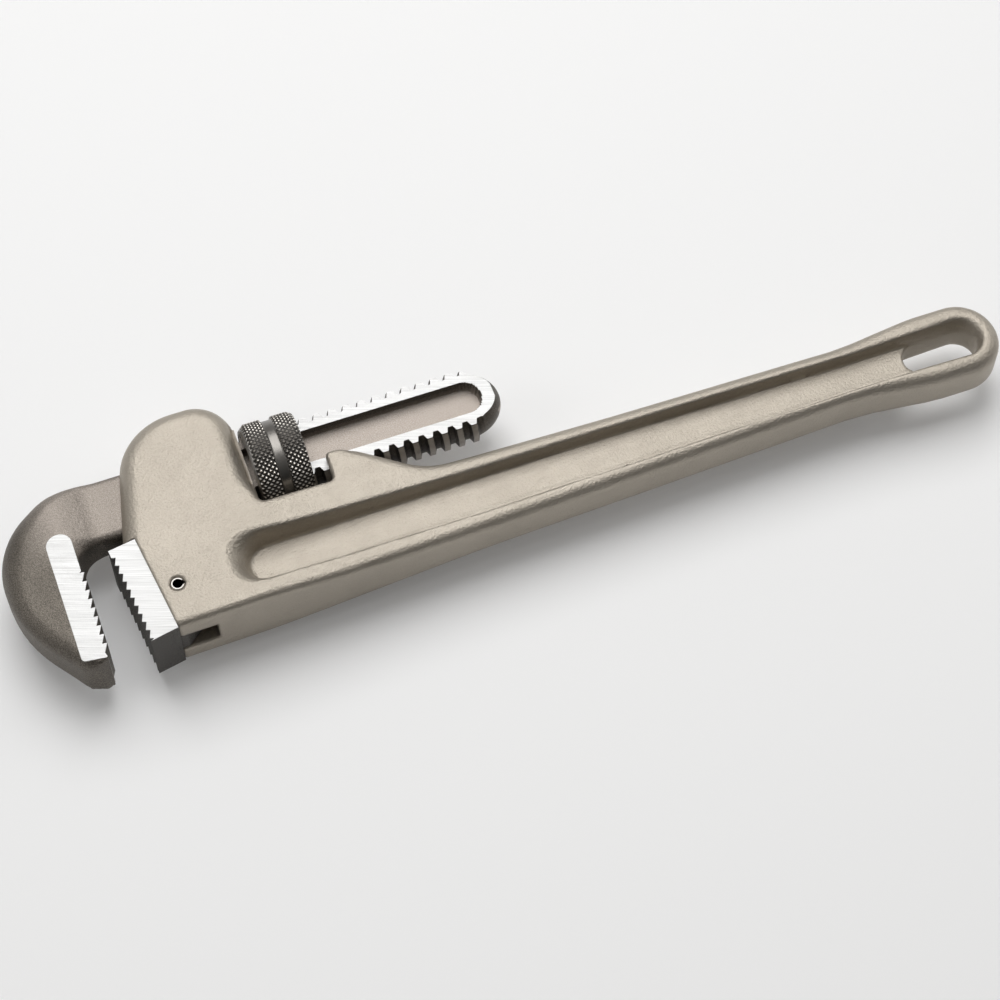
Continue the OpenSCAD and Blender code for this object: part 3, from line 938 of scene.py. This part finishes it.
# %% [markdown]
# ## The adjusting nut
# The knurl isn't cut but rolled: two hardened wheels press crossing grooves, and what is
# left between them is a field of small pyramids. The height of one is the smaller of two
# triangle waves, one leaning each way round the nut, and the same height later marks which
# points have been worn bright and which valleys get painted shade.

# %% Nut
KNURLS = 56
KNURL_DEPTH = 0.55
THREAD_GAP = 0.35
BORE_R = CREST_R + THREAD_GAP
RIDGE_TIP, RIDGE_BASE = 1.44, 2.68


def knurl(x, turn):
    """Height from 0 to 1 of a diamond knurl: two triangle waves that lean either way."""
    lean = x / 2.1
    waves = [1 - np.abs(2 * ((KNURLS * turn + s * lean) % 1) - 1) for s in (1, -1)]
    return np.minimum(waves[0], waves[1])


def nut():
    """A grid that goes round twice: round the axis, and round the nut's section from the
    left face over the knurls to the right face and back through the threaded bore."""
    half = NUT_W / 2
    outer = np.array([(BORE_R + 0.8, -half), (NUT_R - 1.9, -half), (NUT_R - 1.75, -half + 0.12),
                      (NUT_R, -7.5), (NUT_R, -1.8), (NUT_R - 1.0, -1.35), (NUT_R - 1.1, -1.2),
                      (NUT_R - 1.1, 1.8), (NUT_R - 1.0, 1.95), (NUT_R, 2.35), (NUT_R, half - 1.6),
                      (NUT_R - 1.0, half - 0.1), (NUT_R - 1.15, half), (BORE_R + 0.8, half)])
    steps = [6, 2, 10, 30, 4, 2, 8, 2, 4, 30, 6, 2, 6]
    line = np.concatenate([a + (b - a) * np.linspace(0, 1, n, endpoint=False)[:, None]
                           for a, b, n in zip(outer[:-1], outer[1:], steps)] + [outer[-1:]])
    bore = np.stack([np.full(64, BORE_R), np.linspace(half - 0.8, 0.8 - half, 64)], 1)
    section = np.concatenate([line, bore])
    r, x = section[:, :1], section[:, 1:]
    turn = np.arange(560)[None] / 560
    band = ease(NUT_R - r, 1.2, 0.9) * ease(np.abs(x - 0.3), 1.7, 2.0)
    height = knurl(x, turn)
    inner = np.arange(len(section))[:, None] >= len(line)
    ridge = thread_share(x, turn, GAP_X, RIDGE_TIP, RIDGE_BASE)
    ridge = ridge * (1 - ease(np.abs(x), half - 2.2, half - 0.9))
    radius = r - np.where(inner, (BORE_R - ROOT_R - THREAD_GAP) * ridge,
                          KNURL_DEPTH * (1 - height) * band)
    angle = 2 * np.pi * turn
    grid = np.stack([x + 0 * radius, radius * np.cos(angle), radius * np.sin(angle)], -1)
    mark = np.where(inner, 0, height * band + 0.25 * (1 - band) * (r > NUT_R - 0.8))
    # The third array is painted shade: the bore, and the valleys between the knurls.
    return grid, mark, np.where(inner, 0.9, (1 - height) * band)


def wrapped(grid):
    """Quads of a grid that closes on itself both ways."""
    rows, cols = grid.shape[:2]
    i, j = np.meshgrid(np.arange(rows), np.arange(cols), indexing="ij")
    k, m = (i + 1) % rows, (j + 1) % cols
    return np.stack([i * cols + j, i * cols + m, k * cols + m, k * cols + j], -1).reshape(-1, 4)


grid, bright, dark = nut()
nut_piece = piece("adjusting_nut_knurled", grid.reshape(-1, 3), wrapped(grid), "nut",
                  "nut_black", OXIDE, edge=bright.ravel(), hollow=dark.ravel())
crisp(nut_piece, 50)
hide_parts("adjusting_nut")

# %% Springs keep their CAD shape and get their steel
for name in ("coil_spring", "flat_spring"):
    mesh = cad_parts[name].data
    mesh.materials.clear()
    mesh.materials.append(SPRING_STEEL)

# %% [markdown]
# ## Floor, light and camera
# Bright metal shows mostly whatever lights it. One large softbox hangs behind the tool,
# where the faces that lie flat mirror it towards the camera; the room in front stays dim,
# so fillets and walls that turn that way read dark. Two weak boxes fill the sides.


# %% Floor
def ground():
    """A square floor, faintly lit from within so that the shadow on it stays soft."""
    mesh = bpy.data.meshes.new("floor")
    s = 3.0
    mesh.from_pydata([(-s, -s, 0), (s, -s, 0), (s, s, 0), (-s, s, 0)], [], [(0, 1, 2, 3)])
    f = Finish("pale floor", Roughness=0.6, Base_Color=(0.80, 0.80, 0.80, 1),
               Emission_Color=(1, 1, 1, 1), Emission_Strength=0.11)
    mesh.materials.append(f.material)
    made = bpy.data.objects.new("floor", mesh)
    bpy.context.scene.collection.objects.link(made)


ground()


# %% Camera
def from_w(x, y, z):
    """A place in millimetres from the nut's centre, in the frame."""
    return np.array([x, y, z]) * MM + CENTRE


AIM = from_w(65.0, -46.3, 12.55)
DISTANCE = 0.876
ELEVATION, AZIMUTH = np.radians(60), np.radians(-20)
view = np.array([-np.sin(AZIMUTH) * np.cos(ELEVATION), np.cos(AZIMUTH) * np.cos(ELEVATION),
                 -np.sin(ELEVATION)])


def look(obj, place, aim):
    """Stands obj at place with its -Z axis towards aim and its top up."""
    obj.location = place
    obj.rotation_euler = Vector(aim - place).to_track_quat("-Z", "Y").to_euler()


camera = bpy.data.objects.new("camera", bpy.data.cameras.new("camera"))
bpy.context.scene.collection.objects.link(camera)
camera.data.lens = 93.6
camera.data.sensor_width = 36.0
look(camera, AIM - view * DISTANCE, AIM)
bpy.context.scene.camera = camera


# %% Lights
def softbox(name, direction, distance, size, power):
    """A square area light that looks at the tool from a direction."""
    light = bpy.data.lights.new(name, "AREA")
    light.size = size
    light.energy = power
    made = bpy.data.objects.new(name, light)
    bpy.context.scene.collection.objects.link(made)
    direction = np.array(direction, float)
    look(made, AIM + direction / np.linalg.norm(direction) * distance, AIM)


softbox("key", (0.07, 0.47, 0.87), 1.5, 1.3, 18.0)
softbox("left fill", (-1.0, 0.1, 0.6), 1.6, 0.8, 3.0)
softbox("right fill", (1.0, 0.2, 0.5), 1.6, 0.8, 3.0)

world = bpy.data.worlds.new("dim room")
world.use_nodes = True
sky = world.node_tree
direction = add(sky, "ShaderNodeTexCoord").outputs["Generated"]
facing = add(sky, "ShaderNodeSeparateXYZ", {0: direction}).outputs
toward_back = maths(sky, "MULTIPLY_ADD", facing["Z"], 0.9, facing["Y"])
glow = span(sky, toward_back, -0.7, 0.8, 0.0, 0.30)
sky.links.new(glow, sky.nodes["Background"].inputs["Strength"])
sky.nodes["Background"].inputs["Color"].default_value = (1.0, 0.985, 0.96, 1)
bpy.context.scene.world = world
bpy.context.scene.view_settings.view_transform = "Standard"
